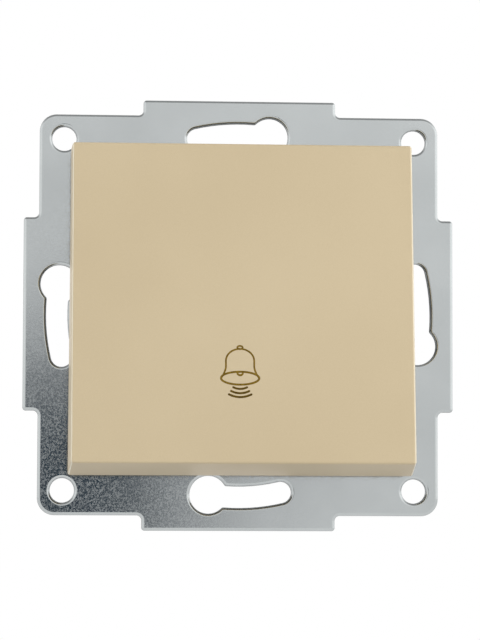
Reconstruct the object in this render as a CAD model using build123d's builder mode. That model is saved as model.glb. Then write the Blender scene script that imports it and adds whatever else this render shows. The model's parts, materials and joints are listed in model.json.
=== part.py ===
from build123d import *
import math
import os

os.makedirs("parts", exist_ok=True)

# Row frame: X right, Z up, Y into the wall; Y = 0 is the plate's rear face on the wall

# Mounting plate, stamped from galvanised sheet
plate_span = 71.0
ledge_step = 2.5
tab_width = 31.8
plate_thickness = 1.0
plate_corner = 2.8
step_fillet = 0.85
tab_corner = 0.5
stamped_edge = 0.5
seat_coin = 0.2
seat_clearance = 0.3
corner_hole_inset = 4.05
corner_hole_radius = 2.0
slot_inset = 5.5
slot_width = 3.5
slot_eye_radius = 3.1
slot_eye_angle = 9.5
slot_end_angle = 13.4
slot_throat = 0.5

# Key, a drafted wedge cap whose lower edge stands out at rest
key_width = 55.2
key_height = 52.3
key_tilt = 6.5
key_middle_rise = 11.3
key_middle_lift = 1.35
key_wall = 1.6
key_foot_depth = 8.4
key_head_depth = 4.0
key_side_draft = 3.0
key_foot_draft = 6.0
key_corner = 0.45
key_edge = 0.35
key_travel = 5.0

# Ribs and hooks under the key
rib_thickness = 1.4
rib_frame_width = 26.0
rib_frame_height = 24.0
hook_lift = 8.0
hook_width = 8.0
hook_thickness = 1.6
hook_catch = 0.5
hook_nose = 1.6
hook_clearance = 0.2

# Rocking carrier on two trunnions
pivot_rise = 0.5
carrier_span = 35.2
carrier_corner = 2.0
carrier_thickness = 1.8
carrier_rise = 1.7
cheek_thickness = 2.0
cheek_radius = 2.8
trunnion_radius = 2.0
bearing_clearance = 0.05
pad_radius = 2.6
pad_drop = 1.0
window_margin = 1.5
window_corner = 1.0

# Housing, the moulded base
housing_corner = 3.0
housing_wall = 1.8
carrier_gap = 0.8
collar_rise = 3.0
collar_clearance = 0.3
flange_reach = 1.8
flange_corner = 6.0
flange_thickness = 2.0
snap_width = 6.0
snap_offset = 10.5
snap_catch = 0.7
snap_clearance = 0.05
deck_thickness = 2.0
rear_wall = 2.1
edge_round = 0.6
collar_lead = 0.4
core_rib = 1.4
core_columns = 2
core_rows = 2
core_corner = 1.2

# Contact chamber: lid, plunger, bridge and spring
cover_gap = 0.5
cover_thickness = 1.7
cover_clearance = 0.2
post_size = 6.0
post_inset = 0.1
cover_screw_radius = 1.1
cover_screw_head_radius = 2.0
cover_screw_head = 1.0
cover_screw_grip = 4.0
cover_screw_round = 0.4
plunger_inset = 4.1
plunger_radius = 2.5
plunger_dome = 1.2
plunger_collar_radius = 3.4
plunger_collar = 1.2
plunger_pin_radius = 1.8
plunger_pin = 7.0
guide_clearance = 0.08
guide_wall = 1.1
guide_gap = 0.3
push_gap = 0.05
stop_gap = 0.1
bridge_length = 18.0
bridge_width = 4.6
bridge_thickness = 0.6
contact_offset = 6.5
tip_radius = 1.2
bridge_tip = 0.7
fixed_tip = 0.6
tip_round = 0.35
closing_gap = 0.03
spring_wire = 0.6
spring_radius = 2.5
spring_turns = 6.5
well_clearance = 0.5

# Terminals for the two wires
terminal_offset = 11.0
terminal_width = 8.0
terminal_height = 8.0
terminal_length = 9.0
terminal_sink = 1.0
terminal_edge = 0.4
pocket_clearance = 0.1
wire_bore_radius = 1.5
wire_bore_lift = 1.0
wire_entry_radius = 2.0
wire_funnel = 0.9
terminal_screw_radius = 1.5
terminal_screw_head_radius = 2.6
terminal_screw_head = 1.8
terminal_screw_round = 0.5
thread_clearance = 0.05
strip_thickness = 0.8
strip_width = 4.4
strip_leg_sink = 2.2
strip_clearance = 0.1
driver_slot_width = 0.7
driver_slot_depth = 0.8

# Claws that spread in the wall box
claw_screw_radius = 1.5
claw_screw_gap = 1.9
claw_screw_head_radius = 2.7
claw_screw_head = 2.0
claw_screw_round = 0.8
claw_screw_tail = 2.4
claw_hole_clearance = 0.2
claw_slope = 25.0
claw_travel = 7.0
claw_sheet = 1.2
claw_fold = 1.0
claw_front = 13.0
claw_length = 7.6
claw_reach = 5.8
claw_gap = 0.1
claw_teeth = 3
tooth_height = 0.8
claw_nut_size = 6.0
claw_nut_thickness = 2.4
claw_nut_edge = 0.4
nut_clearance = 0.25
nut_seat_gap = 0.05
ramp_thickness = 1.8

# Places on the plate and on the carrier, worked out from the sizes above
ledge_span = plate_span - 2 * ledge_step
corner_hole_pitch = ledge_span - 2 * corner_hole_inset
slot_circle_radius = plate_span / 2 - slot_inset
plunger_drop = carrier_span / 2 - plunger_inset

# Places along the depth
plate_front = -plate_thickness
collar_front = plate_front - collar_rise
pivot_depth = plate_front - pivot_rise
carrier_rear = pivot_depth - carrier_rise
carrier_front = carrier_rear - carrier_thickness
pad_rear = pivot_depth + pad_drop
cover_front = pivot_depth + cheek_radius + cover_gap
cover_rear = cover_front + cover_thickness
plunger_tip = pad_rear + push_gap
plunger_collar_front = cover_rear + stop_gap
bridge_front = plunger_collar_front + plunger_collar
bridge_rear = bridge_front + bridge_thickness
plunger_travel = plunger_drop * math.radians(key_travel)
fixed_tip_front = bridge_rear + bridge_tip + plunger_travel + closing_gap
strip_front = fixed_tip_front + fixed_tip
deck_depth = strip_front + strip_thickness
pocket_front = deck_depth + deck_thickness
pocket_rear = pocket_front + terminal_length + 2 * pocket_clearance
housing_depth = pocket_rear + rear_wall
terminal_front = pocket_front + pocket_clearance
terminal_rear = terminal_front + terminal_length

# Places across the width and height
chamber_span = carrier_span + 2 * carrier_gap
housing_span = chamber_span + 2 * housing_wall
housing_half = housing_span / 2
opening_span = housing_span + 2 * collar_clearance
flange_span = housing_span + 2 * flange_reach
terminal_bottom = -housing_half + terminal_sink
terminal_top = terminal_bottom + terminal_height
wire_height = (terminal_bottom + terminal_top) / 2 + wire_bore_lift
claw_screw_x = housing_half + claw_screw_gap + claw_screw_radius
post_reach = chamber_span / 2 - post_size / 2 - post_inset
strip_leg_x = terminal_offset - terminal_width / 2 + strip_leg_sink - strip_thickness
sides = (("left", -1), ("right", 1))


# A sketch plane at a depth behind the wall face: x right, y up, extruding towards the room
def at_depth(depth):
    return Plane.XZ.offset(-depth)


# A sketch plane across the object at a height: x right, y into the wall, extruding upwards
def at_height(height):
    return Plane.XY.offset(height)


# Side view plane at a given x: x into the wall, y up, extruding to the right
def at_side(x):
    return Plane(origin=(x, 0, 0), x_dir=(0, 1, 0), z_dir=(1, 0, 0))


# Points of a sketch whose smaller and larger coordinates match two half spans
def points_at(sketch, small, large):
    found = []
    for point in sketch.vertices():
        low, high = sorted((abs(point.X), abs(point.Y)))
        if math.isclose(low, small, abs_tol=1e-4) and math.isclose(high, large, abs_tol=1e-4):
            found.append(point)
    return found


# Points of a slot sketch where an eye's circle meets the edges of its slot
def throat_points(sketch):
    eyes = PolarLocations(slot_circle_radius, 4, start_angle=90 - slot_eye_angle).local_locations
    found = []
    for point in sketch.vertices():
        to_eye = min((Vector(point) - eye.position).length for eye in eyes)
        off_line = abs(Vector(point).length - slot_circle_radius)
        on_eye = math.isclose(to_eye, slot_eye_radius, abs_tol=1e-4)
        if on_eye and math.isclose(off_line, slot_width / 2, abs_tol=1e-4):
            found.append(point)
    return found


# Mounting plate: stepped square with a pinwheel of keyhole slots
slot_line = CenterArc((0, 0), slot_circle_radius, 90 - slot_eye_angle, slot_eye_angle + slot_end_angle)
with BuildPart() as mounting_plate:
    with BuildSketch(at_depth(0)) as outline:
        RectangleRounded(ledge_span, ledge_span, plate_corner)
        Rectangle(tab_width, plate_span)
        Rectangle(plate_span, tab_width)
        fillet(points_at(outline, tab_width / 2, ledge_span / 2), step_fillet)
        fillet(points_at(outline, tab_width / 2, plate_span / 2), tab_corner)
    extrude(amount=plate_thickness)
    with BuildSketch(at_depth(0)) as cuts:
        with PolarLocations(0, 4):
            SlotArc(slot_line, slot_width)
        with PolarLocations(slot_circle_radius, 4, start_angle=90 - slot_eye_angle):
            Circle(slot_eye_radius)
        fillet(throat_points(cuts), slot_throat)
        with GridLocations(corner_hole_pitch, corner_hole_pitch, 2, 2):
            Circle(corner_hole_radius)
    extrude(amount=plate_thickness, mode=Mode.SUBTRACT)
    # Coined seat in the rear face for the housing's flange
    with BuildSketch(at_depth(0)):
        RectangleRounded(flange_span + 2 * seat_clearance, flange_span + 2 * seat_clearance, flange_corner)
    extrude(amount=seat_coin, mode=Mode.SUBTRACT)
    fillet(mounting_plate.faces().sort_by(Axis.Y)[0].edges(), stamped_edge)
    # Opening and claw screw holes with square edges, where hooks and screw heads sit on the sheet
    with BuildSketch(at_depth(0)):
        RectangleRounded(opening_span, opening_span, housing_corner + collar_clearance)
        with Locations((-claw_screw_x, 0), (claw_screw_x, 0)):
            Circle(claw_screw_radius + claw_hole_clearance)
    extrude(amount=plate_thickness, mode=Mode.SUBTRACT)
mounting_plate.part.label = "mounting_plate"
export_step(mounting_plate.part, "parts/mounting_plate.step")

# Key: planes of its face and of its rim, in the rest position
face_out = Vector(0, -math.cos(math.radians(key_tilt)), math.sin(math.radians(key_tilt)))
face_middle = Vector(0, plate_front - key_middle_rise, key_middle_lift)
key_face = Plane(origin=face_middle, x_dir=(1, 0, 0), z_dir=face_out)
rim_lean = math.atan2(key_foot_depth - key_head_depth, key_height)
rim_middle = face_middle - face_out * ((key_foot_depth + key_head_depth) / 2)
rim_angle = math.radians(key_tilt) - rim_lean
key_rim = Plane(origin=rim_middle, x_dir=(1, 0, 0), z_dir=(0, -math.cos(rim_angle), math.sin(rim_angle)))


# Cross section of the key at a depth behind its face, drafted and drawn in by an inset
def key_section(depth, inset):
    side = depth * math.tan(math.radians(key_side_draft))
    foot = depth * math.tan(math.radians(key_foot_draft))
    with BuildSketch(key_face.offset(-depth)) as section:
        with Locations((0, (side - foot) / 2)):
            RectangleRounded(
                key_width + 2 * (side - inset),
                key_height + side + foot - 2 * inset,
                key_corner,
            )
    return section.sketch


# The ribs stand on the carrier and end inside the key's front wall
with BuildPart() as key_ribs:
    with BuildSketch(at_depth(carrier_front)):
        Rectangle(rib_frame_width, rib_frame_height)
        Rectangle(
            rib_frame_width - 2 * rib_thickness,
            rib_frame_height - 2 * rib_thickness,
            mode=Mode.SUBTRACT,
        )
        Rectangle(rib_thickness, rib_frame_height)
    extrude(amount=2 * key_middle_rise)
    for side in (-1, 1):
        root = side * hook_lift
        inner = root - side * hook_thickness / 2
        outer = root + side * hook_thickness / 2
        catch = outer + side * (hook_clearance + hook_catch)
        tip = carrier_rear + hook_nose
        with BuildSketch(at_side(-hook_width / 2)):
            with BuildLine():
                Polyline(
                    (carrier_front - 2 * key_middle_rise, inner),
                    (tip, inner),
                    (tip, outer),
                    (carrier_rear + hook_nose / 3, catch),
                    (carrier_rear, catch),
                    (carrier_rear, outer),
                    (carrier_front - 2 * key_middle_rise, outer),
                    close=True,
                )
            make_face()
        extrude(amount=hook_width)
    split(bisect_by=key_face.offset(-key_wall / 2), keep=Keep.BOTTOM)

with BuildPart() as key:
    loft([key_section(0, 0), key_section(2 * key_foot_depth, 0)])
    split(bisect_by=key_rim, keep=Keep.TOP)
    fillet(key.faces().sort_by(Axis(face_middle, face_out))[-1].edges(), key_edge)
    loft([key_section(key_wall, key_wall), key_section(2 * key_foot_depth, key_wall)], mode=Mode.SUBTRACT)
    add(key_ribs.part)
key.part.label = "key"
export_step(key.part, "parts/key.step")

# Windows of the carrier lie between the key's ribs and hooks
window_inner = rib_thickness / 2 + window_margin
window_outer = rib_frame_width / 2 - rib_thickness - window_margin
window_x = (window_inner + window_outer) / 2
window_width = window_outer - window_inner
window_height = 2 * (hook_lift - hook_thickness / 2 - hook_clearance - window_margin)

# Carrier: plate under the key, two cheeks with trunnions and a pad over the plunger
with BuildPart() as key_carrier:
    with BuildSketch(at_depth(carrier_rear)):
        RectangleRounded(carrier_span, carrier_span, carrier_corner)
        with Locations((0, hook_lift), (0, -hook_lift)):
            Rectangle(
                hook_width + 2 * hook_clearance,
                hook_thickness + 2 * hook_clearance,
                mode=Mode.SUBTRACT,
            )
        with Locations((-window_x, 0), (window_x, 0)):
            RectangleRounded(window_width, window_height, window_corner, mode=Mode.SUBTRACT)
    extrude(amount=carrier_thickness)
    for name, side in sides:
        with BuildSketch(at_side(side * carrier_span / 2)):
            with Locations((pivot_depth, 0)):
                Circle(cheek_radius)
            with Locations(((pivot_depth + carrier_rear) / 2, 0)):
                Rectangle(pivot_depth - carrier_rear, 2 * cheek_radius)
        extrude(amount=-side * cheek_thickness)
        with BuildSketch(at_side(side * carrier_span / 2)):
            with Locations((pivot_depth, 0)):
                Circle(trunnion_radius)
        extrude(amount=side * (carrier_gap + housing_wall - collar_clearance))
    with BuildSketch(at_depth(pad_rear)):
        with Locations((0, -plunger_drop)):
            Circle(pad_radius)
    extrude(amount=pad_rear - carrier_rear)
key_carrier.part.label = "key_carrier"
export_step(key_carrier.part, "parts/key_carrier.step")

# Ramp line beside the housing, as long as the claw's travel needs: how far out its seat lies at a depth
ramp_front = claw_front - claw_travel * math.cos(math.radians(claw_slope))
ramp_foot = claw_front + claw_length


def ramp_x(depth):
    return housing_half + (ramp_foot - depth) * math.tan(math.radians(claw_slope))


flange_inner = claw_nut_size / 2 + nut_clearance
ramp_notch = flange_inner + ramp_thickness + nut_clearance

# Housing: collar through the plate, flange behind it, contact chamber, pockets and ramps
with BuildPart() as housing:
    with BuildSketch(at_depth(housing_depth)):
        RectangleRounded(housing_span, housing_span, housing_corner)
    extrude(amount=housing_depth - collar_front)
    fillet(housing.faces().sort_by(Axis.Y)[-1].edges(), edge_round)
    chamfer(housing.faces().sort_by(Axis.Y)[0].edges(), collar_lead)
    with BuildSketch(at_depth(flange_thickness - seat_coin)):
        RectangleRounded(flange_span, flange_span, flange_corner)
        for name, side in sides:
            with Locations((side * (housing_half + flange_reach / 2), 0)):
                Rectangle(flange_reach, 2 * ramp_notch, mode=Mode.SUBTRACT)
    extrude(amount=flange_thickness)
    # Two ramps on each flank, with the claw's screw between them
    for name, side in sides:
        for low in (flange_inner, -flange_inner - ramp_thickness):
            with BuildSketch(at_height(low)):
                with BuildLine():
                    Polyline(
                        (side * (housing_half - housing_wall / 2), ramp_front),
                        (side * ramp_x(ramp_front), ramp_front),
                        (side * housing_half, ramp_foot),
                        (side * (housing_half - housing_wall / 2), ramp_foot),
                        close=True,
                    )
                make_face()
            extrude(amount=ramp_thickness)
    # Four snap hooks over the plate's front face
    for side in (-1, 1):
        for place in (-snap_offset, snap_offset):
            seat = plate_front - snap_clearance
            reach = housing_half + collar_clearance + snap_catch
            with BuildSketch(at_side(place - snap_width / 2)):
                with BuildLine():
                    Polyline(
                        (seat, side * (housing_half - housing_wall / 2)),
                        (seat, side * reach),
                        (seat - snap_catch, side * reach),
                        (collar_front, side * housing_half),
                        (collar_front, side * (housing_half - housing_wall / 2)),
                        close=True,
                    )
                make_face()
            extrude(amount=snap_width)
    # Contact chamber with four posts for the lid
    with BuildSketch(at_depth(deck_depth)):
        RectangleRounded(chamber_span, chamber_span, housing_corner - housing_wall)
    extrude(amount=deck_depth - collar_front, mode=Mode.SUBTRACT)
    with BuildSketch(at_depth(deck_depth)):
        with GridLocations(2 * post_reach, 2 * post_reach, 2, 2):
            Rectangle(post_size + 2 * post_inset, post_size + 2 * post_inset)
    extrude(amount=deck_depth - cover_rear)
    with BuildSketch(at_depth(cover_rear)):
        with Locations((-post_reach, post_reach), (post_reach, -post_reach)):
            Circle(cover_screw_radius + thread_clearance)
    extrude(amount=-cover_screw_grip, mode=Mode.SUBTRACT)
    # Bearings of the carrier's trunnions
    with BuildSketch(at_side(-housing_half)):
        with Locations((pivot_depth, 0)):
            Circle(trunnion_radius + bearing_clearance)
    extrude(amount=housing_span, mode=Mode.SUBTRACT)
    # Spring well, terminal pockets open below, slots for the strips and wire entries
    with BuildSketch(at_depth(pocket_rear)):
        with Locations((0, -plunger_drop)):
            Circle(spring_radius + spring_wire / 2 + well_clearance)
    extrude(amount=pocket_rear - deck_depth, mode=Mode.SUBTRACT)
    for name, side in sides:
        pocket_low = -housing_half
        pocket_high = terminal_top + pocket_clearance
        with BuildSketch(at_depth(pocket_rear)):
            with Locations((side * terminal_offset, (pocket_low + pocket_high) / 2)):
                Rectangle(terminal_width + 2 * pocket_clearance, pocket_high - pocket_low)
        extrude(amount=pocket_rear - pocket_front, mode=Mode.SUBTRACT)
        with BuildSketch(at_depth(pocket_front)):
            with Locations((side * (strip_leg_x + strip_thickness / 2), -plunger_drop)):
                Rectangle(strip_thickness + 2 * strip_clearance, strip_width + 2 * strip_clearance)
        extrude(amount=deck_thickness, mode=Mode.SUBTRACT)
        with BuildSketch(at_depth(housing_depth)):
            with Locations((side * terminal_offset, wire_height)):
                Circle(wire_entry_radius)
        extrude(amount=rear_wall, mode=Mode.SUBTRACT)
        with BuildSketch(at_depth(housing_depth)):
            with Locations((side * terminal_offset, wire_height)):
                Circle(wire_entry_radius + wire_funnel)
        extrude(amount=wire_funnel, taper=45, mode=Mode.SUBTRACT)
    # Cored-out upper half, open to the rear
    core_low = terminal_top + 2 * core_rib
    core_high = chamber_span / 2
    core_width = (chamber_span - (core_columns - 1) * core_rib) / core_columns
    core_height = (core_high - core_low - (core_rows - 1) * core_rib) / core_rows
    with BuildSketch(at_depth(housing_depth)):
        with Locations((0, (core_low + core_high) / 2)):
            with GridLocations(core_width + core_rib, core_height + core_rib, core_columns, core_rows):
                RectangleRounded(core_width, core_height, core_corner)
    extrude(amount=housing_depth - pocket_front, mode=Mode.SUBTRACT)
housing.part.label = "housing"
export_step(housing.part, "parts/housing.step")

# The guide on the lid ends just short of the carrier's pad when the key is pressed home
guide_front = pad_rear + (plunger_drop + pad_radius) * math.radians(key_travel) + guide_gap

# Lid of the contact chamber, with the plunger's guide
with BuildPart() as contact_cover:
    with BuildSketch(at_depth(cover_rear)):
        RectangleRounded(
            chamber_span - 2 * cover_clearance,
            chamber_span - 2 * cover_clearance,
            housing_corner - housing_wall,
        )
        with Locations((0, -plunger_drop)):
            Circle(plunger_radius + guide_clearance, mode=Mode.SUBTRACT)
        with Locations((-post_reach, post_reach), (post_reach, -post_reach)):
            Circle(cover_screw_radius + thread_clearance, mode=Mode.SUBTRACT)
    extrude(amount=cover_thickness)
    with BuildSketch(at_depth(cover_front)):
        with Locations((0, -plunger_drop)):
            Circle(plunger_radius + guide_clearance + guide_wall)
            Circle(plunger_radius + guide_clearance, mode=Mode.SUBTRACT)
    extrude(amount=cover_front - guide_front)
contact_cover.part.label = "contact_cover"
export_step(contact_cover.part, "parts/contact_cover.step")

# Two lid screws
with BuildPart() as cover_screws:
    for place in ((-post_reach, post_reach), (post_reach, -post_reach)):
        with BuildSketch(at_depth(cover_front)):
            with Locations(place):
                Circle(cover_screw_head_radius)
        head = extrude(amount=cover_screw_head)
        fillet(head.faces().sort_by(Axis.Y)[0].edges(), cover_screw_round)
        with BuildSketch(at_depth(cover_front)):
            with Locations(place):
                Circle(cover_screw_radius)
        extrude(amount=-(cover_thickness + cover_screw_grip - thread_clearance))
        with BuildSketch(at_depth(cover_front - cover_screw_head)):
            with Locations(place):
                Rectangle(2 * cover_screw_head_radius, driver_slot_width)
        extrude(amount=-cover_screw_head / 2, mode=Mode.SUBTRACT)
cover_screws.part.label = "cover_screws"
export_step(cover_screws.part, "parts/cover_screws.step")

# Plunger: domed stem, stop collar and spring pin, turned about its own axis
plunger_axis = Plane(origin=(0, 0, -plunger_drop), x_dir=(0, 1, 0), z_dir=(1, 0, 0))
with BuildPart() as plunger:
    with BuildSketch(plunger_axis):
        with BuildLine():
            dome = TangentArc((plunger_tip, 0), (plunger_tip + plunger_dome, plunger_radius), tangent=(0, 1))
            Polyline(
                dome @ 1,
                (plunger_collar_front, plunger_radius),
                (plunger_collar_front, plunger_collar_radius),
                (bridge_front, plunger_collar_radius),
                (bridge_front, plunger_pin_radius),
                (bridge_front + plunger_pin, plunger_pin_radius),
                (bridge_front + plunger_pin, 0),
                dome @ 0,
            )
        make_face()
    revolve(axis=Axis((0, 0, -plunger_drop), (0, 1, 0)))
plunger.part.label = "plunger"
export_step(plunger.part, "parts/plunger.step")

# Contact bridge held against the plunger's collar by the spring
with BuildPart() as contact_bridge:
    with BuildSketch(at_depth(bridge_rear)):
        with Locations((0, -plunger_drop)):
            SlotOverall(bridge_length, bridge_width)
            Circle(plunger_pin_radius + guide_clearance, mode=Mode.SUBTRACT)
    extrude(amount=bridge_thickness)
contact_bridge.part.label = "contact_bridge"
export_step(contact_bridge.part, "parts/contact_bridge.step")

# Return spring between the bridge and the bottom of its well
spring_length = pocket_rear - bridge_rear - spring_wire
with BuildPart() as return_spring:
    with BuildLine() as coil:
        Helix(
            spring_length / spring_turns,
            spring_length,
            spring_radius,
            center=(0, bridge_rear + spring_wire / 2, -plunger_drop),
            direction=(0, 1, 0),
        )
    with BuildSketch(Plane(origin=coil.line @ 0, z_dir=coil.line % 0)):
        Circle(spring_wire / 2)
    sweep(path=coil.line, is_frenet=True)
return_spring.part.label = "return_spring"
export_step(return_spring.part, "parts/return_spring.step")


# A flat-headed round rivet on a contact, rounded on the side that meets its partner
def contact_rivet(name, place, depth, height, facing):
    with BuildPart() as rivet:
        with BuildSketch(at_depth(depth)):
            with Locations((place, -plunger_drop)):
                Circle(tip_radius)
        extrude(amount=facing * height)
        fillet(rivet.faces().sort_by(Axis.Y)[0 if facing > 0 else -1].edges(), tip_round)
    rivet.part.label = name
    export_step(rivet.part, f"parts/{name}.step")


for name, side in sides:
    contact_rivet(f"{name}_bridge_tip", side * contact_offset, bridge_rear, bridge_tip, -1)
    contact_rivet(f"{name}_contact_tip", side * contact_offset, strip_front, fixed_tip, 1)

# Contact strips: flat under the fixed contact, folded back into the terminal
strip_end = terminal_front + strip_leg_sink
for name, side in sides:
    with BuildPart() as contact_strip:
        with BuildSketch(at_height(-plunger_drop - strip_width / 2)):
            with BuildLine():
                Polyline(
                    (side * (contact_offset - strip_width / 2), strip_front),
                    (side * (strip_leg_x + strip_thickness), strip_front),
                    (side * (strip_leg_x + strip_thickness), strip_end),
                    (side * strip_leg_x, strip_end),
                    (side * strip_leg_x, deck_depth),
                    (side * (contact_offset - strip_width / 2), deck_depth),
                    close=True,
                )
            make_face()
        extrude(amount=strip_width)
        fold = contact_strip.edges().filter_by(Axis.Z).group_by(Axis.Y)[0]
        fillet(fold.sort_by(Axis.X)[-1 if side > 0 else 0], strip_thickness)
    contact_strip.part.label = f"{name}_contact_strip"
    export_step(contact_strip.part, f"parts/{name}_contact_strip.step")

# Terminals: brass blocks with a wire bore, a screw hole from below and a slot for the strip
for name, side in sides:
    with BuildPart() as terminal:
        with BuildSketch(at_depth(terminal_rear)):
            with Locations((side * terminal_offset, (terminal_bottom + terminal_top) / 2)):
                Rectangle(terminal_width, terminal_height)
        extrude(amount=terminal_length)
        chamfer(terminal.edges().filter_by(Axis.Y), terminal_edge)
        with BuildSketch(at_depth(terminal_rear)):
            with Locations((side * terminal_offset, wire_height)):
                Circle(wire_bore_radius)
        extrude(amount=terminal_length, mode=Mode.SUBTRACT)
        with BuildSketch(at_height(terminal_bottom)):
            with Locations((side * terminal_offset, (terminal_front + terminal_rear) / 2)):
                Circle(terminal_screw_radius + thread_clearance)
        extrude(amount=wire_height - terminal_bottom, mode=Mode.SUBTRACT)
        with BuildSketch(at_depth(terminal_front)):
            with Locations((side * (strip_leg_x + strip_thickness / 2), -plunger_drop)):
                Rectangle(strip_thickness + thread_clearance, strip_width + thread_clearance)
        extrude(amount=-strip_leg_sink - thread_clearance, mode=Mode.SUBTRACT)
    terminal.part.label = f"{name}_terminal"
    export_step(terminal.part, f"parts/{name}_terminal.step")

# Terminal screws, backed off so that a wire can go in
screw_tip = wire_height - wire_bore_radius - thread_clearance
for name, side in sides:
    place = (side * terminal_offset, (terminal_front + terminal_rear) / 2)
    with BuildPart() as terminal_screw:
        with BuildSketch(at_height(terminal_bottom - terminal_screw_head)):
            with Locations(place):
                Circle(terminal_screw_head_radius)
        extrude(amount=terminal_screw_head)
        fillet(terminal_screw.faces().sort_by(Axis.Z)[0].edges(), terminal_screw_round)
        with BuildSketch(at_height(terminal_bottom)):
            with Locations(place):
                Circle(terminal_screw_radius)
        extrude(amount=screw_tip - terminal_bottom)
        with BuildSketch(at_height(terminal_bottom - terminal_screw_head)):
            with Locations(place):
                Rectangle(2 * terminal_screw_head_radius, driver_slot_width)
        extrude(amount=driver_slot_depth, mode=Mode.SUBTRACT)
    terminal_screw.part.label = f"{name}_terminal_screw"
    export_step(terminal_screw.part, f"parts/{name}_terminal_screw.step")

# Claws: a strap folded into a U round the nut, with slanted seats and toothed outer edges
claw_outer = housing_half + claw_reach
tooth_pitch = claw_length / claw_teeth
nut_front = claw_front + claw_sheet + nut_seat_gap
nut_rear = nut_front + claw_nut_thickness
for name, side in sides:
    with BuildPart() as claw:
        for low in (flange_inner, -flange_inner - claw_sheet):
            with BuildSketch(at_height(low)):
                with BuildLine():
                    edge = [(claw_outer, claw_front)]
                    for tooth in range(claw_teeth):
                        start = claw_front + tooth * tooth_pitch
                        edge.append((claw_outer + tooth_height, start))
                        edge.append((claw_outer, start + tooth_pitch))
                    edge.append((ramp_x(ramp_foot) + claw_gap, ramp_foot))
                    edge.append((ramp_x(claw_front) + claw_gap, claw_front))
                    Polyline([(side * x, y) for x, y in edge], close=True)
                make_face()
            extrude(amount=claw_sheet)
        with BuildSketch(at_depth(claw_front + claw_sheet)):
            seat = ramp_x(claw_front) + claw_gap
            with Locations((side * (seat + claw_outer) / 2, 0)):
                Rectangle(claw_outer - seat, 2 * (flange_inner + claw_sheet))
            tongue = claw_screw_x - claw_nut_size / 2 + nut_clearance
            with Locations((side * (tongue + claw_outer) / 2, 0)):
                Rectangle(claw_outer - tongue, claw_nut_size)
            notch = claw_screw_radius + claw_hole_clearance
            with Locations((side * claw_screw_x, 0)):
                Circle(notch, mode=Mode.SUBTRACT)
            with Locations((side * (tongue + claw_screw_x) / 2, 0)):
                Rectangle(claw_screw_x - tongue, 2 * notch, mode=Mode.SUBTRACT)
        extrude(amount=claw_sheet)
        folds = claw.edges().filter_by(Axis.X).group_by(Axis.Y)[0].group_by(Axis.Z)
        fillet(folds[0] + folds[-1], claw_fold)
    claw.part.label = f"{name}_claw"
    export_step(claw.part, f"parts/{name}_claw.step")

# Square nuts behind the claws' cross walls
for name, side in sides:
    with BuildPart() as claw_nut:
        with BuildSketch(at_depth(nut_rear)):
            with Locations((side * claw_screw_x, 0)):
                Rectangle(claw_nut_size, claw_nut_size)
                Circle(claw_screw_radius + thread_clearance, mode=Mode.SUBTRACT)
        extrude(amount=claw_nut_thickness)
        chamfer(claw_nut.edges().filter_by(Axis.Y).filter_by(GeomType.LINE), claw_nut_edge)
    claw_nut.part.label = f"{name}_claw_nut"
    export_step(claw_nut.part, f"parts/{name}_claw_nut.step")

# Claw screws through the plate
for name, side in sides:
    with BuildPart() as claw_screw:
        with BuildSketch(at_depth(plate_front)):
            with Locations((side * claw_screw_x, 0)):
                Circle(claw_screw_head_radius)
        extrude(amount=claw_screw_head)
        fillet(claw_screw.faces().sort_by(Axis.Y)[0].edges(), claw_screw_round)
        with BuildSketch(at_depth(nut_rear + claw_screw_tail)):
            with Locations((side * claw_screw_x, 0)):
                Circle(claw_screw_radius)
        extrude(amount=nut_rear + claw_screw_tail - plate_front)
        with BuildSketch(at_depth(plate_front - claw_screw_head)):
            with Locations((side * claw_screw_x, 0)):
                Rectangle(driver_slot_width, 2 * claw_screw_head_radius)
        extrude(amount=-driver_slot_depth, mode=Mode.SUBTRACT)
    claw_screw.part.label = f"{name}_claw_screw"
    export_step(claw_screw.part, f"parts/{name}_claw_screw.step")
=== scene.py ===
import json
import math

import bmesh
import bpy
import numpy as np
from mathutils import Matrix, Vector


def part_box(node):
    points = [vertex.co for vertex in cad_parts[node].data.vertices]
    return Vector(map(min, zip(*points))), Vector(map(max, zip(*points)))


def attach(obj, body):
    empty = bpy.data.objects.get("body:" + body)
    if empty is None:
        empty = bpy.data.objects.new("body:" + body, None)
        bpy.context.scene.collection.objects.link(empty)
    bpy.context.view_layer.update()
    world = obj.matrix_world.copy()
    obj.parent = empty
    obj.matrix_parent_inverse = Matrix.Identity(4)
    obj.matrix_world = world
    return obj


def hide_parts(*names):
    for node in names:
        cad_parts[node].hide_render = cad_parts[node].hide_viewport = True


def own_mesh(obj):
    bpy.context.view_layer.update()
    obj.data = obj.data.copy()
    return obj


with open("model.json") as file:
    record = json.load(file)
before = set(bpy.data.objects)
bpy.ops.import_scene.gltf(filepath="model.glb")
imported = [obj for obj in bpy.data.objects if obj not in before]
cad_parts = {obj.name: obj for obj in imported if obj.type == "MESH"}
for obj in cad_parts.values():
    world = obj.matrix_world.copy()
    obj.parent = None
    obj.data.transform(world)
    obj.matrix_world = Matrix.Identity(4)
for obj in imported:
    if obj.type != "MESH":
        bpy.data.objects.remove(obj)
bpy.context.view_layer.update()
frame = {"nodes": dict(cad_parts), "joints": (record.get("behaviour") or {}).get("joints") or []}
nodes = frame["nodes"]
scene = bpy.context.scene
mm = 0.001
wholeTurn = 2 * math.pi
print("frame:", len(nodes), "nodes")


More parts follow.
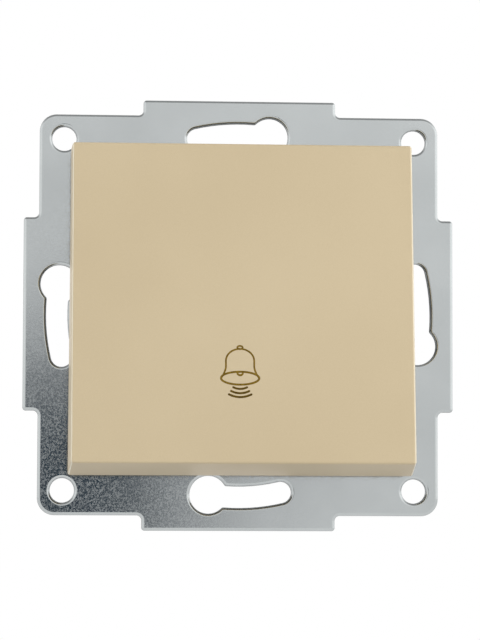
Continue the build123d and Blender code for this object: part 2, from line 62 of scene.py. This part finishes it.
# One output of a node tree: sums and products of wires add Math nodes
class Wire:
    def __init__(self, tree, socket=None):
        self.tree = tree
        self.socket = socket

    # adds a node: its settings first, then a value or a wire for each socket, and gives back one output
    def node(self, kind, settings=None, sockets=None, out=0):
        made = self.tree.nodes.new(kind)
        for key, value in (settings or {}).items():
            setattr(made, key, value)
        for key, value in (sockets or {}).items():
            if isinstance(value, Wire):
                self.tree.links.new(value.socket, made.inputs[key])
            else:
                made.inputs[key].default_value = value
        return Wire(self.tree, made.outputs[out] if made.outputs else None)

    def math(self, operation, *values):
        return self.node("ShaderNodeMath", {"operation": operation}, dict(enumerate(values)))

    def __add__(self, other):
        return self.math("ADD", self, other)

    def __sub__(self, other):
        return self.math("SUBTRACT", self, other)

    def __rsub__(self, other):
        return self.math("SUBTRACT", other, self)

    def __mul__(self, other):
        return self.math("MULTIPLY", self, other)

    def __neg__(self):
        return 0 - self

    def __abs__(self):
        return self.math("ABSOLUTE", self)

    __radd__ = __add__
    __rmul__ = __mul__

    # soft step from 0 at the low value to 1 at the high one
    def step(self, low, high):
        limits = {"Value": self, "From Min": low, "From Max": high}
        return self.node("ShaderNodeMapRange", {"interpolation_type": "SMOOTHSTEP"}, limits)

    # first colour where this is 0, second where it is 1
    def mix(self, first, second):
        sockets = {0: self, 6: first, 7: second}    # by number, because the names repeat
        return self.node("ShaderNodeMix", {"data_type": "RGBA"}, sockets, out=2)

    # one part of a vector: X, Y or Z
    def part(self, axis):
        return self.node("ShaderNodeSeparateXYZ", None, {0: self}, out=axis)

    def length(self):
        return self.node("ShaderNodeVectorMath", {"operation": "LENGTH"}, {0: self}, out="Value")

    # stretched copy of a coordinate
    def stretched(self, scale):
        return self.node("ShaderNodeMapping", None, {"Vector": self, "Scale": scale})

    def noise(self, scale, detail=2.0, roughness=0.5):
        sockets = {"Vector": self, "Scale": scale, "Detail": detail, "Roughness": roughness}
        return self.node("ShaderNodeTexNoise", None, sockets)

    def bump(self, height):
        return self.node("ShaderNodeBump", None, {"Height": self, "Distance": height, "Strength": 1.0})

    # how squarely the surface faces along an axis, either way: 0 to 1
    def facing(self, axis):
        return abs(self.node("ShaderNodeNewGeometry", out="Normal").part(axis))


# A new material with its tree and the Object coordinates of what it covers
def newFinish(name):
    made = bpy.data.materials.new(name)
    made.use_nodes = True
    made.node_tree.nodes.clear()
    tree = Wire(made.node_tree)
    return made, tree, tree.node("ShaderNodeTexCoord", out="Object")


# Ends a material in one Principled shader
def closeFinish(tree, **sockets):
    named = {key.replace("_", " "): value for key, value in sockets.items()}
    shader = tree.node("ShaderNodeBsdfPrincipled", None, named)
    tree.node("ShaderNodeOutputMaterial", None, {"Surface": shader})


def grey(level, tint=(1.0, 1.0, 1.0)):
    return (level * tint[0], level * tint[1], level * tint[2], 1.0)


zincLook = {
    "dull": (0.5, 0.525, 0.527, 1.0),
    "bright": (0.54, 0.566, 0.568, 1.0),
    # the walls where it was cut: dull steel, darkened further with painted shade
    "shearedAndShaded": (0.16, 0.163, 0.167, 1.0),
    "shearedFacing": (0.2, 0.55),       # how squarely rolled sheet faces front or back
    "metallic": 0.94,
    "grain": {"scale": 3700, "detail": 3.0, "roughness": 0.65},     # scale in grains per metre
    "grainShare": (0.32, 0.66),         # where the grain noise turns from smooth zinc to a rough grain
    "grainHeight": 3e-6,
    "clouds": {"scale": 70, "detail": 3.0},
    "cloudShare": (0.3, 0.7),           # where the cloud noise turns from dull to bright
    "cloudDepth": 0.25,                 # how much of a grain's roughness follows the clouds
    "smooth": 0.05,
    "rough": 0.22,
    "shearedRough": 0.5,
}


# Galvanised sheet: rough grains crowded in smooth zinc, faint clouds, and dull walls where it was
# sheared, with painted shade darkening them
def makeZincSheet(name):
    look = zincLook
    made, tree, place = newFinish(name)
    noise = place.noise(**look["grain"])
    grain = noise.step(*look["grainShare"])
    clouds = place.noise(**look["clouds"])
    # walls that turn sideways from the front get the dark colour: rough cut steel with painted shade over
    # it
    sheet = tree.facing("Y").step(*look["shearedFacing"])
    zinc = clouds.step(*look["cloudShare"]).mix(look["dull"], look["bright"])
    depth = 1 - look["cloudDepth"] + look["cloudDepth"] * clouds
    polish = look["smooth"] + (look["rough"] - look["smooth"]) * grain * depth
    closeFinish(
        tree,
        Base_Color=sheet.mix(look["shearedAndShaded"], zinc),
        Metallic=look["metallic"],
        Roughness=polish + (1 - sheet) * (look["shearedRough"] - polish),
        Normal=noise.bump(look["grainHeight"]),
    )
    return made


paintLook = {
    "deep": (0.576, 0.468, 0.298, 1.0),
    "light": (0.616, 0.506, 0.328, 1.0),
    # pale cream of the painted highlight on the roundings of the upright edges
    "paintedHighlight": (0.81, 0.77, 0.64, 1.0),
    "edgeStart": (0.3, 0.6),            # how far a rounding turns sideways where the painted highlight begins
    "edgeEnd": (0.62, 0.86),            # and where the wall begins
    "flake": {"scale": 5200, "roughness": 0.6},
    "flakeHeight": 1.6e-6,
    "flakeTone": 0.4,                   # the flake's share in the tone, the rest is drift
    "drift": {"scale": 38},
    "toneShare": (0.3, 0.7),            # where the tone turns from deep to light
    "metallic": 0.15,
    "rough": 0.4,
    "flakeRough": 0.1,                  # what the flake adds to it
    "coat": 0.22,
    "driftCoat": 0.08,                  # what the drift adds to it
    "coatRough": 0.2,
    "specular": 0.35,
}


# Champagne paint: a satin coat over very fine metal flake, with a pale painted highlight on the roundings
# of the upright edges
def makeChampagnePaint(name):
    look = paintLook
    made, tree, place = newFinish(name)
    flake = place.noise(**look["flake"])
    drift = place.noise(**look["drift"])
    tone = (1 - look["flakeTone"]) * drift + look["flakeTone"] * flake
    paint = tone.step(*look["toneShare"]).mix(look["deep"], look["light"])
    # the roundings of the upright edges get the pale painted highlight instead of the paint
    sideways = tree.facing("X")
    edge = sideways.step(*look["edgeStart"]) * (1 - sideways.step(*look["edgeEnd"]))
    closeFinish(
        tree,
        Base_Color=edge.mix(paint, look["paintedHighlight"]),
        Metallic=look["metallic"],
        Roughness=look["rough"] + look["flakeRough"] * flake,
        Coat_Weight=look["coat"] + look["driftCoat"] * drift,
        Coat_Roughness=look["coatRough"],
        Specular_IOR_Level=look["specular"],
        Normal=flake.bump(look["flakeHeight"]),
    )
    return made


markLook = {
    "kinds": {
        "goldenMark": {"deep": (0.12, 0.07, 0.005, 1.0), "light": (0.24, 0.15, 0.018, 1.0)},
        "brownMark": {"deep": (0.065, 0.036, 0.002, 1.0), "light": (0.125, 0.076, 0.006, 1.0)},
    },
    "burn": {"scale": 2600, "detail": 3.0, "roughness": 0.6},
    "burnShare": (0.3, 0.72),
    "burnHeight": 5e-6,
    "rough": 0.5,
    "burnRough": 0.2,
    "specular": 0.2,
}


# Etched mark: the paint burnt to brown, a little uneven along the line
def makeEtchedMark(name, deep, light):
    look = markLook
    made, tree, place = newFinish(name)
    burn = place.noise(**look["burn"])
    closeFinish(
        tree,
        Base_Color=burn.step(*look["burnShare"]).mix(deep, light),
        Roughness=look["rough"] + look["burnRough"] * burn,
        Specular_IOR_Level=look["specular"],
        Normal=burn.bump(look["burnHeight"]),
    )
    return made


mouldedLook = {
    "kinds": {
        "whiteMoulding": {
            "dark": grey(0.7, (1, 1, 0.97)),
            "light": grey(0.8, (1, 1, 0.98)),
            "grainScale": 6500,
            "rough": 0.36,
        },
        "greyMoulding": {
            "dark": grey(0.6, (0.99, 1, 0.99)),
            "light": grey(0.66, (0.99, 1, 1)),
            "grainScale": 5200,
            "rough": 0.44,
        },
    },
    "grain": {"detail": 2.0, "roughness": 0.55},
    "grainHeight": 7e-6,
    "grainRough": 0.16,
    "flow": {"scale": 120, "detail": 3.0},
    "flowStretch": (1.0, 0.35, 1.0),
    "flowShare": (0.3, 0.72),
    "refraction": 1.5,
}


# Moulded plastic: eroded-mould grain, slow shade drift from the flow of the melt
def makeMoulded(name, dark, light, grainScale, rough):
    look = mouldedLook
    made, tree, place = newFinish(name)
    grain = place.noise(grainScale, **look["grain"])
    flow = place.stretched(look["flowStretch"]).noise(**look["flow"])
    closeFinish(
        tree,
        Base_Color=flow.step(*look["flowShare"]).mix(dark, light),
        Roughness=rough + look["grainRough"] * grain,
        Normal=grain.bump(look["grainHeight"]),
        IOR=look["refraction"],
    )
    return made


brassLook = {
    "kinds": {
        "rolledBrass": {"stretch": (0.12, 1.0, 1.0)},
        "turnedBrass": {"stretch": (1.0, 0.08, 1.0)},
    },
    "clean": (0.69, 0.54, 0.27, 1.0),
    "tarnished": (0.48, 0.35, 0.16, 1.0),
    "lines": {"scale": 1500, "detail": 3.0, "roughness": 0.6},
    "lineHeight": 6e-6,
    "tarnish": {"scale": 260, "detail": 4.0, "roughness": 0.6},
    "tarnishShare": (0.5, 0.78),
    "rough": 0.22,
    "lineRough": 0.16,
    "tarnishRough": 0.12,
}


# Brass: drawn or turned lines along one direction, with a light tarnish in patches
def makeBrass(name, stretch):
    look = brassLook
    made, tree, place = newFinish(name)
    lines = place.stretched(stretch).noise(**look["lines"])
    tarnish = place.noise(**look["tarnish"]).step(*look["tarnishShare"])
    closeFinish(
        tree,
        Base_Color=tarnish.mix(look["clean"], look["tarnished"]),
        Metallic=1.0,
        Roughness=look["rough"] + look["lineRough"] * lines + look["tarnishRough"] * tarnish,
        Normal=lines.bump(look["lineHeight"]),
    )
    return made


platedLook = {
    "kinds": {
        "silverRivet": {
            "cool": grey(0.82),
            "warm": grey(0.74, (1, 0.97, 0.9)),
            "stretch": (1, 1, 1),
        },
        "platedScrew": {
            "cool": grey(0.47, (0.96, 0.99, 1.04)),
            "warm": grey(0.56, (1, 0.98, 0.93)),
            "stretch": (1, 1, 1),
        },
        "platedStrap": {
            "cool": grey(0.42, (0.97, 0.99, 1.03)),
            "warm": grey(0.52, (1, 0.98, 0.93)),
            "stretch": (1, 0.2, 1),
        },
        "springWire": {
            "cool": grey(0.4),
            "warm": grey(0.5, (1, 0.98, 0.95)),
            "stretch": (1, 1, 1),
        },
    },
    "marks": {"scale": 1900, "detail": 3.0, "roughness": 0.6},
    "markHeight": 7e-6,
    "clouds": {"scale": 210, "detail": 3.0},
    "cloudShare": (0.34, 0.7),
    "metallic": 0.96,
    "rough": 0.22,
    "markRough": 0.14,
    "cloudRough": 0.08,
}


# Plated metal: bright, with soft clouds from cool to warm and shallow forming marks
def makePlatedMetal(name, cool, warm, stretch):
    look = platedLook
    made, tree, place = newFinish(name)
    marks = place.stretched(stretch).noise(**look["marks"])
    clouds = place.noise(**look["clouds"])
    closeFinish(
        tree,
        Base_Color=clouds.step(*look["cloudShare"]).mix(cool, warm),
        Metallic=look["metallic"],
        Roughness=look["rough"] + look["markRough"] * marks + look["cloudRough"] * clouds,
        Normal=marks.bump(look["markHeight"]),
    )
    return made


finishes = {
    "zincSheet": makeZincSheet("zincSheet"),
    "champagnePaint": makeChampagnePaint("champagnePaint"),
}
families = (
    (markLook, makeEtchedMark),
    (mouldedLook, makeMoulded),
    (brassLook, makeBrass),
    (platedLook, makePlatedMetal),
)
for family, makeFinish in families:
    finishes.update({name: makeFinish(name, **kind) for name, kind in family["kinds"].items()})

nodeFinish = {
    "mounting_plate": "zincSheet",
    "key": "champagnePaint",
    "key_carrier": "whiteMoulding",
    "contact_cover": "whiteMoulding",
    "plunger": "whiteMoulding",
    "housing": "greyMoulding",
    "cover_screws": "platedScrew",
    "contact_bridge": "rolledBrass",
    "return_spring": "springWire",
    "bridge_tip": "silverRivet",
    "contact_tip": "silverRivet",
    "contact_strip": "rolledBrass",
    "terminal": "turnedBrass",
    "terminal_screw": "platedScrew",
    "claw": "platedStrap",
    "claw_nut": "platedScrew",
    "claw_screw": "platedScrew",
}
for name, node in nodes.items():
    plain = name.removeprefix("left_").removeprefix("right_")
    for slot in node.material_slots:
        slot.material = finishes[nodeFinish[plain]]
print("finishes:", len(finishes))


# Quads between the rows of a grid of points; a closed direction also joins its last row to its first
def gridFaces(rows, columns, closeRows=False, closeColumns=False):
    row = np.arange(rows if closeRows else rows - 1)[:, None]
    column = np.arange(columns if closeColumns else columns - 1)[None, :]
    rowStart = row * columns
    nextStart = (row + 1) % rows * columns
    nextColumn = (column + 1) % columns
    corners = (rowStart + column, rowStart + nextColumn, nextStart + nextColumn, nextStart + column)
    return np.stack(np.broadcast_arrays(*corners), axis=-1).reshape(-1, 4)


def newPiece(name, points, faces, finish):
    mesh = bpy.data.meshes.new(name)
    mesh.from_pydata(points.reshape(-1, 3).tolist(), [], faces)
    mesh.materials.append(finish)
    piece = bpy.data.objects.new(name, mesh)
    scene.collection.objects.link(piece)
    return piece


shellCare = {"join": 1e-8, "sharpFrom": math.radians(60)}


# Joins points that coincide, closes what is open, turns faces outwards and smooths all but sharp edges
def closeShell(piece):
    shell = bmesh.new()
    shell.from_mesh(piece.data)
    bmesh.ops.remove_doubles(shell, verts=shell.verts, dist=shellCare["join"])
    bmesh.ops.holes_fill(shell, edges=shell.edges, sides=0)
    bmesh.ops.recalc_face_normals(shell, faces=shell.faces)
    shell.to_mesh(piece.data)
    shell.free()
    piece.data.shade_smooth()
    piece.data.set_sharp_from_angle(angle=shellCare["sharpFrom"])


# A node's points in millimetres, and the three corners of each of its triangles
def nodeTriangles(mesh):
    place = np.empty(len(mesh.vertices) * 3)
    mesh.vertices.foreach_get("co", place)
    mesh.calc_loop_triangles()
    corner = np.empty(len(mesh.loop_triangles) * 3, int)
    mesh.loop_triangles.foreach_get("vertices", corner)
    return place.reshape(-1, 3) / mm, corner.reshape(-1, 3)


# A node's largest flat face, from its largest triangle: its middle, and its directions right, up and out
def largestFace(mesh, flatness):
    place, corner = nodeTriangles(mesh)
    triangles = place[corner]
    normal = np.cross(triangles[:, 1] - triangles[:, 0], triangles[:, 2] - triangles[:, 0])
    area = np.linalg.norm(normal, axis=1)
    largest = area.argmax()
    out = normal[largest] / area[largest]
    level = triangles @ out
    onFace = (abs(level - level[largest].mean()) < flatness).all(axis=1)
    face = triangles[onFace].reshape(-1, 3)
    middle = (face.min(0) + face.max(0)) / 2
    right = np.array((1.0, 0.0, 0.0))
    return {"middle": middle, "right": right, "up": np.cross(out, right), "out": out}


# The bell sign, in millimetres from the middle of the key's face
bellSign = {
    "across": -0.63,        # its middle line
    "rimHeight": -12.4,
    "rimHalf": (3.06, 1.04),
    "bodyHalf": 2.27,
    "shoulder": -9.61,      # where the dome meets the upright sides
    "domeRise": 1.96,
    "waist": -10.49,        # where the sides begin to flare
    "flarePower": 1.7,
    "crownHeight": -7.43,
    "crownHalf": (0.42, 0.26),
    "clapperHeight": -11.47,
    "clapperHalf": (0.45, 0.45),
    "waves": ((-13.78, 1.27, 0.36), (-14.39, 1.62, 0.44), (-14.93, 1.97, 0.53)),  # height, half, sag
    "line": 0.32,
    "rimLine": 0.37,        # of the rim and the clapper
    "waveLine": 0.38,
    "proud": 0.02,
    "sunk": 0.25,           # how deep a line's foot is sunk, as a share of how proud it stands
    "arcPoints": 96,
    "sidePoints": 40,
    "wavePoints": 48,
    "acrossPoints": 9,
    "flatness": 0.0001,     # how far a point may lie off the key's face and still belong to it
}
keyFace = largestFace(nodes["key"].data, bellSign["flatness"])
print("key face: middle", keyFace["middle"].round(3))


# How wide an open line is along its run, as a share of its width: a quarter circle at either end
def roundEnds(path, radius):
    run = np.concatenate(((0,), np.cumsum(np.linalg.norm(np.diff(path, axis=0), axis=1))))
    toEnd = np.minimum(run, run[-1] - run) / radius
    return np.sqrt(1 - (1 - np.minimum(toEnd, 1)) ** 2)


# Low ridge: half an ellipse across and flat below, carried along a path on the key's face
def ridge(path, width, closed):
    ahead = np.roll(path, -1, 0) - np.roll(path, 1, 0) if closed else np.gradient(path, axis=0)
    along = ahead / np.linalg.norm(ahead, axis=1, keepdims=True)
    across = np.stack((-along[:, 1], along[:, 0]), axis=1)
    reach = np.ones(len(path)) if closed else roundEnds(path, width / 2)
    side = np.linspace(-1, 1, bellSign["acrossPoints"])
    flat = path[:, None] + across[:, None] * (reach[:, None] * side * width / 2)[..., None]
    arch = reach[:, None] * np.sqrt(1 - side**2)
    rise = bellSign["proud"] * ((1 + bellSign["sunk"]) * arch - bellSign["sunk"])
    onFace = keyFace["middle"] + flat[..., :1] * keyFace["right"] + flat[..., 1:] * keyFace["up"]
    place = onFace + rise[..., None] * keyFace["out"]
    return place * mm, gridFaces(len(path), len(side), closeRows=closed, closeColumns=True)


# An ellipse round the sign's middle line, or the part of one between two turns
def ellipseArc(height, halves, turns=(0, wholeTurn), closed=False):
    turn = np.linspace(*turns, bellSign["arcPoints"], endpoint=not closed)
    return np.stack((halves[0] * np.cos(turn), height + halves[1] * np.sin(turn)), axis=1)


# The bell's outline: a half ellipse as dome on sides that flare as a power of the drop below the waist
def bellBody():
    sign = bellSign
    dome = ellipseArc(sign["shoulder"], (sign["bodyHalf"], sign["domeRise"]), (0, wholeTurn / 2))
    height = np.linspace(sign["shoulder"], sign["rimHeight"], sign["sidePoints"])[1:]
    drop = np.clip((sign["waist"] - height) / (sign["waist"] - sign["rimHeight"]), 0, 1)
    half = sign["bodyHalf"] + (sign["rimHalf"][0] - sign["bodyHalf"]) * drop ** sign["flarePower"]
    right = np.stack((half, height), axis=1)
    left = np.stack((-half, height), axis=1)
    return np.concatenate((right[::-1], dome, left))


# Rim and crown are whole ellipses, and the clapper is the lower half of a circle
def bellLines():
    sign = bellSign
    clapper = ellipseArc(sign["clapperHeight"], sign["clapperHalf"], (0, -wholeTurn / 2))
    return (
        (ellipseArc(sign["rimHeight"], sign["rimHalf"], closed=True), sign["rimLine"], True),
        (ellipseArc(sign["crownHeight"], sign["crownHalf"], closed=True), sign["line"], True),
        (bellBody(), sign["line"], False),
        (clapper, sign["rimLine"], False),
    )


# Each sound wave is a flat parabola
def waveLines():
    span = np.linspace(-1, 1, bellSign["wavePoints"])
    for height, half, sag in bellSign["waves"]:
        yield np.stack((half * span, height - sag * (1 - span**2)), axis=1), bellSign["waveLine"], False


# Joins several ridges into one piece on the key
def markPiece(name, lines, finish):
    points, faces, count = [], [], 0
    for path, width, closed in lines:
        grid, quads = ridge(path + (bellSign["across"], 0), width, closed)
        points.append(grid.reshape(-1, 3))
        faces.append(quads + count)
        count += len(points[-1])
    piece = newPiece(name, np.concatenate(points), np.concatenate(faces).tolist(), finish)
    closeShell(piece)
    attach(piece, "rocker")
    print(name + ":", count, "points")


markPiece("bell_sign", bellLines(), finishes["goldenMark"])
markPiece("bell_waves", waveLines(), finishes["brownMark"])

# The thread of the claw screws, in millimetres
screwThread = {
    "pitch": 0.5,
    "depth": 0.29,
    "crest": 1.25,          # above 1 it flattens the crests
    "tailCone": 0.7,        # length of the cone at the tail
    "tailSlope": 0.6,
    "perPitch": 8,
    "around": 40,
    "headReach": 0.01,      # how far behind the plate's front a point still belongs to the head
}


# Threaded shank: its radius is a rounded ridge that climbs a pitch each turn, and a cone closes the tail
def threadedShank(middle, radius, start, end):
    shape = screwThread
    turn = np.linspace(0, wholeTurn, shape["around"], endpoint=False)[None, :]
    run = np.linspace(start, end, int((end - start) / shape["pitch"] * shape["perPitch"]))[:, None]
    pitches = (run - start) / shape["pitch"]
    wave = 0.5 - 0.5 * np.cos(wholeTurn * pitches - turn)
    fade = np.clip(pitches - 1, 0, 1)
    groove = shape["depth"] * fade * (1 - np.clip(shape["crest"] * wave, 0, 1))
    cone = shape["tailSlope"] * np.clip(shape["tailCone"] - (end - run), 0, None)
    size = radius - np.maximum(groove, cone)
    size[-1] = 0
    along = np.broadcast_to(run, size.shape)
    points = np.stack((middle[0] + size * np.cos(turn), along, middle[2] + size * np.sin(turn)), axis=-1)
    return points, gridFaces(*size.shape, closeColumns=True)


# Claw bolt: the head as in the frame, the shank with a rolled thread
def makeClawBolt(side):
    place, corner = nodeTriangles(nodes[side + "_claw_screw"].data)
    low, high = place.min(0), place.max(0)
    middle = (low + high) / 2
    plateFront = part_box("mounting_plate")[0].y / mm
    inHead = place[:, 1] < plateFront + screwThread["headReach"]
    used, head = np.unique(corner[inHead[corner].all(axis=1)], return_inverse=True)
    plainShank = place[~inHead] - middle
    radius = np.hypot(plainShank[:, 0], plainShank[:, 2]).max()
    shank, quads = threadedShank(middle, radius, plateFront, high[1])
    points = np.concatenate((place[used], shank.reshape(-1, 3)))
    faces = head.reshape(-1, 3).tolist() + (quads + len(used)).tolist()
    bolt = newPiece(side + "_claw_bolt", points * mm, faces, finishes["platedScrew"])
    closeShell(bolt)
    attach(bolt, "base")
    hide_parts(side + "_claw_screw")
    print(side + "_claw_bolt:", len(points), "points")


for side in ("left", "right"):
    makeClawBolt(side)

# Return spring, in millimetres and turns: drawn as in the frame
returnSpring = {"wire": 0.6, "turns": 6.5, "startTurn": 0.25, "perTurn": 44, "around": 14}


# Coil: a round wire carried along a helix between two depths, its circle square to the path
def springCoil(low, high):
    shape = returnSpring
    half = shape["wire"] / 2
    middle = (low + high) / 2
    radius = (high[0] - low[0]) / 2 - half
    rise = high[1] - low[1] - shape["wire"]
    run = np.linspace(0, 1, int(shape["turns"] * shape["perTurn"]) + 1)
    run = np.concatenate(((0,), run, (1,)))
    size = np.full(len(run), half)
    size[[0, -1]] = 0       # the first and last circles shrink to points and close the ends
    angle = wholeTurn * (shape["startTurn"] - shape["turns"] * run)
    outward = np.stack((np.cos(angle), 0 * angle, np.sin(angle)), axis=1)
    path = (middle[0], low[1] + half, middle[2]) + radius * outward + rise * run[:, None] * (0, 1, 0)
    climb = rise / (wholeTurn * shape["turns"] * radius)
    ahead = np.stack((np.sin(angle), 0 * angle + climb, -np.cos(angle)), axis=1) / np.hypot(1, climb)
    across = np.cross(ahead, outward)
    turn = np.linspace(0, wholeTurn, shape["around"], endpoint=False)[None, :, None]
    ring = np.cos(turn) * outward[:, None] + np.sin(turn) * across[:, None]
    points = path[:, None] + size[:, None, None] * ring
    return points, gridFaces(len(run), shape["around"], closeColumns=True)


springLow, springHigh = (np.array(corner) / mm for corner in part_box("return_spring"))
coilPoints, coilFaces = springCoil(springLow, springHigh)
coil = newPiece("return_coil", coilPoints * mm, coilFaces.tolist(), finishes["springWire"])
closeShell(coil)
plungerSlide = next(joint for joint in frame["joints"] if joint["name"] == "plunger_slide")
travel = plungerSlide["range_m"][1] / mm
keptShare = 1 - travel / (springHigh[1] - springLow[1])
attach(coil, "base")
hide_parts("return_spring")
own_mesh(coil)
print("return_coil: shortens by", round(travel, 2), "mm")

# Camera of the photograph: place in metres, turns in radians from a square front view
photoCamera = {
    "place": (-0.02957, -0.44901, -0.03019),
    "yaw": 0.06626,
    "pitch": -0.06532,
    "roll": -0.00326,
    "lens": 153.526,
    "clipStart": 0.01,
}
squareFront = Matrix(((1, 0, 0), (0, 0, 1), (0, -1, 0)))    # rows: right, up and towards the viewer
turned = Matrix.Rotation(photoCamera["yaw"], 3, "Y") @ squareFront
turned = Matrix.Rotation(photoCamera["pitch"], 3, "X") @ turned
turned = Matrix.Rotation(photoCamera["roll"], 3, "Z") @ turned
camera = bpy.data.objects.new("photoCamera", bpy.data.cameras.new("photoCamera"))
camera.data.lens = photoCamera["lens"]
camera.data.clip_start = photoCamera["clipStart"]
camera.matrix_world = Matrix.Translation(photoCamera["place"]) @ turned.transposed().to_4x4()
scene.collection.objects.link(camera)
scene.camera = camera
print("camera: lens", photoCamera["lens"])


# Square sheet of four points round a middle
def sheetGrid(middle, rightAxis, upAxis, reach):
    span = np.array((-reach, reach))
    upward = span[:, None, None] * np.array(upAxis)
    across = span[None, :, None] * np.array(rightAxis)
    return np.array(middle) + upward + across


# Whether a ray comes from the eye, from a mirror or through glass
def lightPath(tree):
    kinds = ("Is Camera Ray", "Is Glossy Ray", "Is Transmission Ray")
    return [tree.node("ShaderNodeLightPath", out=kind) for kind in kinds]


floorLook = {
    "height": -0.07,
    "reach": 4.0,
    "fade": (0.14, 0.3),                # from shadowed floor to plain white, in metres from the object
    "dull": grey(0.6),
    "bright": grey(0.62),
    "mottle": {"scale": 30},
    "mottleShare": (0.3, 0.7),
}


# Floor: pale matt near the object, plain white further off, all white in mirrors and clear from below
def makeFloorFinish(name):
    look = floorLook
    made, tree, place = newFinish(name)
    eye, gloss, through = lightPath(tree)
    far = place.stretched((1, 1, 0)).length()
    pale = place.noise(**look["mottle"]).step(*look["mottleShare"]).mix(look["dull"], look["bright"])
    paint = {"Base Color": pale, "Roughness": 1.0, "Specular IOR Level": 0.0}
    matt = tree.node("ShaderNodeBsdfPrincipled", None, paint)
    white = tree.node("ShaderNodeEmission", None, {"Color": grey(1.0), "Strength": 1.0})
    clear = tree.node("ShaderNodeBsdfTransparent")
    plain = eye * far.step(*look["fade"]) + gloss + through
    below = tree.node("ShaderNodeNewGeometry", out="Backfacing")
    upper = tree.node("ShaderNodeMixShader", None, {0: plain, 1: matt, 2: white})
    shader = tree.node("ShaderNodeMixShader", None, {0: below, 1: upper, 2: clear})
    tree.node("ShaderNodeOutputMaterial", None, {"Surface": shader})
    return made


cardLook = {
    "place": (-0.03, -0.46, -0.03),
    "stretch": (0.89, 1.0, 1.02),
    "fade": (0.0125, 0.0855),           # from dark to clear, in metres from its middle, unstretched
    "haloFade": (0.06, 0.26),           # a fainter dim round the card, clear at its rim
    "haloDepth": 0.1,
    "colour": (0.004, 0.026, 0.05, 1.0),
}


# Card round the lens for the metal to mirror: dark in its middle, clear towards its rim
def makeCardFinish(name):
    look = cardLook
    made, tree, place = newFinish(name)
    framing = {"Vector": place, "Location": look["place"], "Scale": look["stretch"]}
    far = tree.node("ShaderNodeMapping", {"vector_type": "TEXTURE"}, framing).length()
    dark = tree.node("ShaderNodeEmission", None, {"Color": look["colour"], "Strength": 1.0})
    clear = tree.node("ShaderNodeBsdfTransparent")
    halo = look["haloDepth"] * (1 - far.step(*look["haloFade"]))
    clearness = far.step(*look["fade"]) * (1 - halo)
    shader = tree.node("ShaderNodeMixShader", None, {0: clearness, 1: dark, 2: clear})
    tree.node("ShaderNodeOutputMaterial", None, {"Surface": shader})
    return made


floorSheet = sheetGrid((0, 0, floorLook["height"]), (1, 0, 0), (0, 1, 0), floorLook["reach"])
cardSheet = sheetGrid(cardLook["place"], (1, 0, 0), (0, 0, 1), cardLook["haloFade"][1])
sheetFace = gridFaces(2, 2).tolist()
floor = newPiece("floor", floorSheet, sheetFace, makeFloorFinish("paleFloor"))
card = newPiece("lens_card", cardSheet, sheetFace, makeCardFinish("lensCard"))
for unseen in ("visible_camera", "visible_diffuse", "visible_shadow", "visible_transmission"):
    setattr(card, unseen, False)

# Soft lamps that mirrors don't see: a level of 1 lights a white wall to white
softLamps = {
    "softRight": {"place": (0.98, -0.64, 0.58), "size": (2.2, 1.1), "level": 0.985},
    "softLeft": {"place": (-1.15, -0.34, 0.4), "size": (1.6, 0.9), "level": 0.44},
    "softBehind": {"place": (0.3, 0.95, 0.5), "size": (1.6, 0.9), "level": 0.46},
}
for name, lamp in softLamps.items():
    away = Vector(lamp["place"])
    data = bpy.data.lights.new(name, "AREA")
    data.shape = "ELLIPSE"
    data.size, data.size_y = lamp["size"]
    data.energy = lamp["level"] * math.pi**2 * away.length_squared
    light = bpy.data.objects.new(name, data)
    light.location = away
    light.rotation_euler = away.to_track_quat("Z", "Y").to_euler()
    light.visible_glossy = False
    scene.collection.objects.link(light)

tentLook = {
    "ambient": 0.465,                   # the even level for matt surfaces
    "below": 0.94,                      # levels that mirrors see below and above the horizon
    "above": 1.02,
    "horizon": (-0.02, 0.13),           # sines of the heights where the one turns into the other
    "top": 0.38,
    "topFade": (0.35, 0.85),
    "leftGlow": 0.2,                    # how much brighter mirrors see its far left
    "leftFade": (0.2, 0.9),
    "rightGlow": 0.45,                  # and its far right
    "rightFade": (0.0, 0.9),
}


# World: white for the eye, a white tent with a dim top for mirrors, an even soft level for matt surfaces
def makeTent(name):
    look = tentLook
    made = bpy.data.worlds.new(name)
    made.use_nodes = True
    made.node_tree.nodes.clear()
    tree = Wire(made.node_tree)
    eye, gloss, through = lightPath(tree)
    direction = tree.node("ShaderNodeTexCoord", out="Generated")
    across = direction.part("X")
    upward = direction.part("Z")
    leftGlow = look["leftGlow"] * (-across).step(*look["leftFade"])
    rightGlow = look["rightGlow"] * across.step(*look["rightFade"])
    middle = look["below"] + (look["above"] - look["below"]) * upward.step(*look["horizon"])
    top = 1 - (1 - look["top"]) * upward.step(*look["topFade"])
    mirrored = gloss + through
    level = eye + mirrored * (1 + leftGlow + rightGlow) * middle * top
    level = level + (1 - eye - mirrored) * look["ambient"]
    background = tree.node("ShaderNodeBackground", None, {"Color": grey(1.0), "Strength": level})
    tree.node("ShaderNodeOutputWorld", None, {"Surface": background})
    return made


scene.world = makeTent("whiteTent")
scene.view_settings.view_transform = "Standard"
print("stage: floor, card,", len(softLamps), "lamps")
